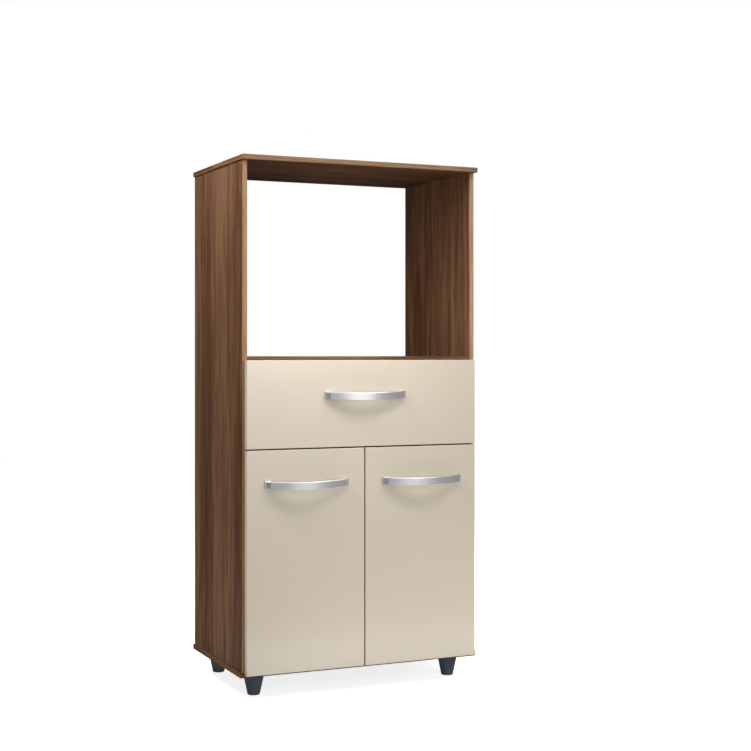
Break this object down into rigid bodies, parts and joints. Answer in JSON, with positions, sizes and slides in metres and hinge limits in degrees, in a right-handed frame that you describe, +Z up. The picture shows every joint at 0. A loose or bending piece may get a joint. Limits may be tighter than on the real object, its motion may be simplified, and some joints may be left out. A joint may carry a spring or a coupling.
{
  "type": "kitchen cabinet",
  "caption": "Tall free-standing kitchen cabinet: brown board carcass on conical feet, an open niche above, a drawer and hinged doors below, cream fronts with bow handles.",
  "frame": {"origin": "on the floor, under the middle of the overall bounding box", "axes": "+Z up along the height, -Y towards the fronts, +X to the right as seen from the front"},
  "size_m": [0.588, 0.402, 1.21],
  "materials": {
    "brown_board": "wood-grain laminate, satin",
    "cream_front": "painted satin gloss",
    "drawer_board": "laminate, matte",
    "hardboard": "pressed fibre, matte",
    "black_plastic": "moulded, satin",
    "silver_handle": "satin anodised",
    "white_nylon": "moulded, smooth",
    "beech_dowel": "raw",
    "runner_steel": "powder coated",
    "hinge_steel": "nickel plated",
    "zinc_fixing": "zinc plated"
  },
  "bodies": {
    "carcass": {"top_panel": "brown_board", "left_side_panel": "brown_board", "right_side_panel": "brown_board", "niche_shelf": "brown_board", "drawer_divider": "brown_board", "bottom_panel": "brown_board", "inner_shelf": "brown_board", "back_panel": "hardboard", "front_left_foot": "black_plastic", "front_right_foot": "black_plastic", "rear_left_foot": "black_plastic", "rear_right_foot": "black_plastic", "foot_screws": "zinc_fixing", "shelf_pins": "zinc_fixing", "cam_locks": "zinc_fixing", "cam_bolts": "zinc_fixing", "wood_dowels": "beech_dowel", "bottom_panel_screws": "zinc_fixing", "back_panel_nails": "zinc_fixing", "left_cabinet_runner": "runner_steel", "right_cabinet_runner": "runner_steel", "cabinet_runner_screws": "zinc_fixing", "left_hinge_plates": "hinge_steel", "right_hinge_plates": "hinge_steel", "left_hinge_arms": "hinge_steel", "right_hinge_arms": "hinge_steel", "hinge_plate_screws": "zinc_fixing", "hinge_arm_screws": "zinc_fixing"},
    "drawer": {"drawer_front": "cream_front", "drawer_left_side": "drawer_board", "drawer_right_side": "drawer_board", "drawer_back": "drawer_board", "drawer_bottom": "hardboard", "drawer_handle": "silver_handle", "drawer_handle_screws": "zinc_fixing", "left_drawer_runner": "runner_steel", "right_drawer_runner": "runner_steel", "drawer_runner_screws": "zinc_fixing", "drawer_cam_locks": "zinc_fixing", "drawer_cam_bolts": "zinc_fixing", "drawer_box_screws": "zinc_fixing", "drawer_bottom_screws": "zinc_fixing"},
    "left_front_wheel": {"left_front_roller": "white_nylon"},
    "right_front_wheel": {"right_front_roller": "white_nylon"},
    "left_rear_wheel": {"left_rear_roller": "white_nylon"},
    "right_rear_wheel": {"right_rear_roller": "white_nylon"},
    "left_outer_link_pair": {"left_outer_links": "hinge_steel"},
    "right_outer_link_pair": {"right_outer_links": "hinge_steel"},
    "left_inner_link_pair": {"left_inner_links": "hinge_steel"},
    "right_inner_link_pair": {"right_inner_links": "hinge_steel"},
    "left_door": {"left_door_panel": "cream_front", "left_door_handle": "silver_handle", "left_door_handle_screws": "zinc_fixing", "left_hinge_cups": "hinge_steel", "left_cup_screws": "zinc_fixing"},
    "right_door": {"right_door_panel": "cream_front", "right_door_handle": "silver_handle", "right_door_handle_screws": "zinc_fixing", "right_hinge_cups": "hinge_steel", "right_cup_screws": "zinc_fixing"}
  },
  "joints": [
    {"name": "drawer_slide", "type": "slide", "parent": "carcass", "child": "drawer", "axis": [0, -1, 0], "range_m": [0, 0.25]},
    {"name": "left_front_wheel_spin", "type": "hinge", "parent": "carcass", "child": "left_front_wheel", "pos_m": [-0.2733, -0.141, 0.5799], "axis": [1, 0, 0], "range_deg": [0, 1691]},
    {"name": "left_rear_wheel_spin", "type": "hinge", "parent": "drawer", "child": "left_rear_wheel", "pos_m": [-0.2702, 0.135, 0.5793], "axis": [1, 0, 0], "range_deg": [0, 1691]},
    {"name": "right_front_wheel_spin", "type": "hinge", "parent": "carcass", "child": "right_front_wheel", "pos_m": [0.2733, -0.141, 0.5799], "axis": [1, 0, 0], "range_deg": [0, 1691]},
    {"name": "right_rear_wheel_spin", "type": "hinge", "parent": "drawer", "child": "right_rear_wheel", "pos_m": [0.2702, 0.135, 0.5793], "axis": [1, 0, 0], "range_deg": [0, 1691]},
    {"name": "left_outer_link_turn", "type": "hinge", "parent": "carcass", "child": "left_outer_link_pair", "pos_m": [-0.25233, -0.14721, 0.30475], "axis": [0, 0, -1], "range_deg": [-31, 0]},
    {"name": "left_door_swing", "type": "hinge", "parent": "left_outer_link_pair", "child": "left_door", "pos_m": [-0.27552, -0.15833, 0.30475], "axis": [0, 0, -1], "range_deg": [0, 122]},
    {"name": "left_inner_link_turn", "type": "hinge", "parent": "carcass", "child": "left_inner_link_pair", "pos_m": [-0.26144, -0.16269, 0.30475], "axis": [0, 0, -1], "range_deg": [-46.55, 0]},
    {"name": "right_outer_link_turn", "type": "hinge", "parent": "carcass", "child": "right_outer_link_pair", "pos_m": [0.25233, -0.14721, 0.30475], "axis": [0, 0, 1], "range_deg": [-31, 0]},
    {"name": "right_door_swing", "type": "hinge", "parent": "right_outer_link_pair", "child": "right_door", "pos_m": [0.27552, -0.15833, 0.30475], "axis": [0, 0, 1], "range_deg": [0, 122]},
    {"name": "right_inner_link_turn", "type": "hinge", "parent": "carcass", "child": "right_inner_link_pair", "pos_m": [0.26144, -0.16269, 0.30475], "axis": [0, 0, 1], "range_deg": [-46.55, 0]}
  ],
  "couplings": [
    {"joint": "left_front_wheel_spin", "follows": "drawer_slide", "rad_per_m": 117.65},
    {"joint": "left_rear_wheel_spin", "follows": "drawer_slide", "rad_per_m": 117.65},
    {"joint": "right_front_wheel_spin", "follows": "drawer_slide", "rad_per_m": 117.65},
    {"joint": "right_rear_wheel_spin", "follows": "drawer_slide", "rad_per_m": 117.65},
    {"joint": "left_outer_link_turn", "follows": "left_door_swing", "ratio": -0.25},
    {"joint": "left_inner_link_turn", "follows": "left_door_swing", "ratio": -0.3775},
    {"joint": "right_outer_link_turn", "follows": "right_door_swing", "ratio": -0.25},
    {"joint": "right_inner_link_turn", "follows": "right_door_swing", "ratio": -0.3775}
  ]
}
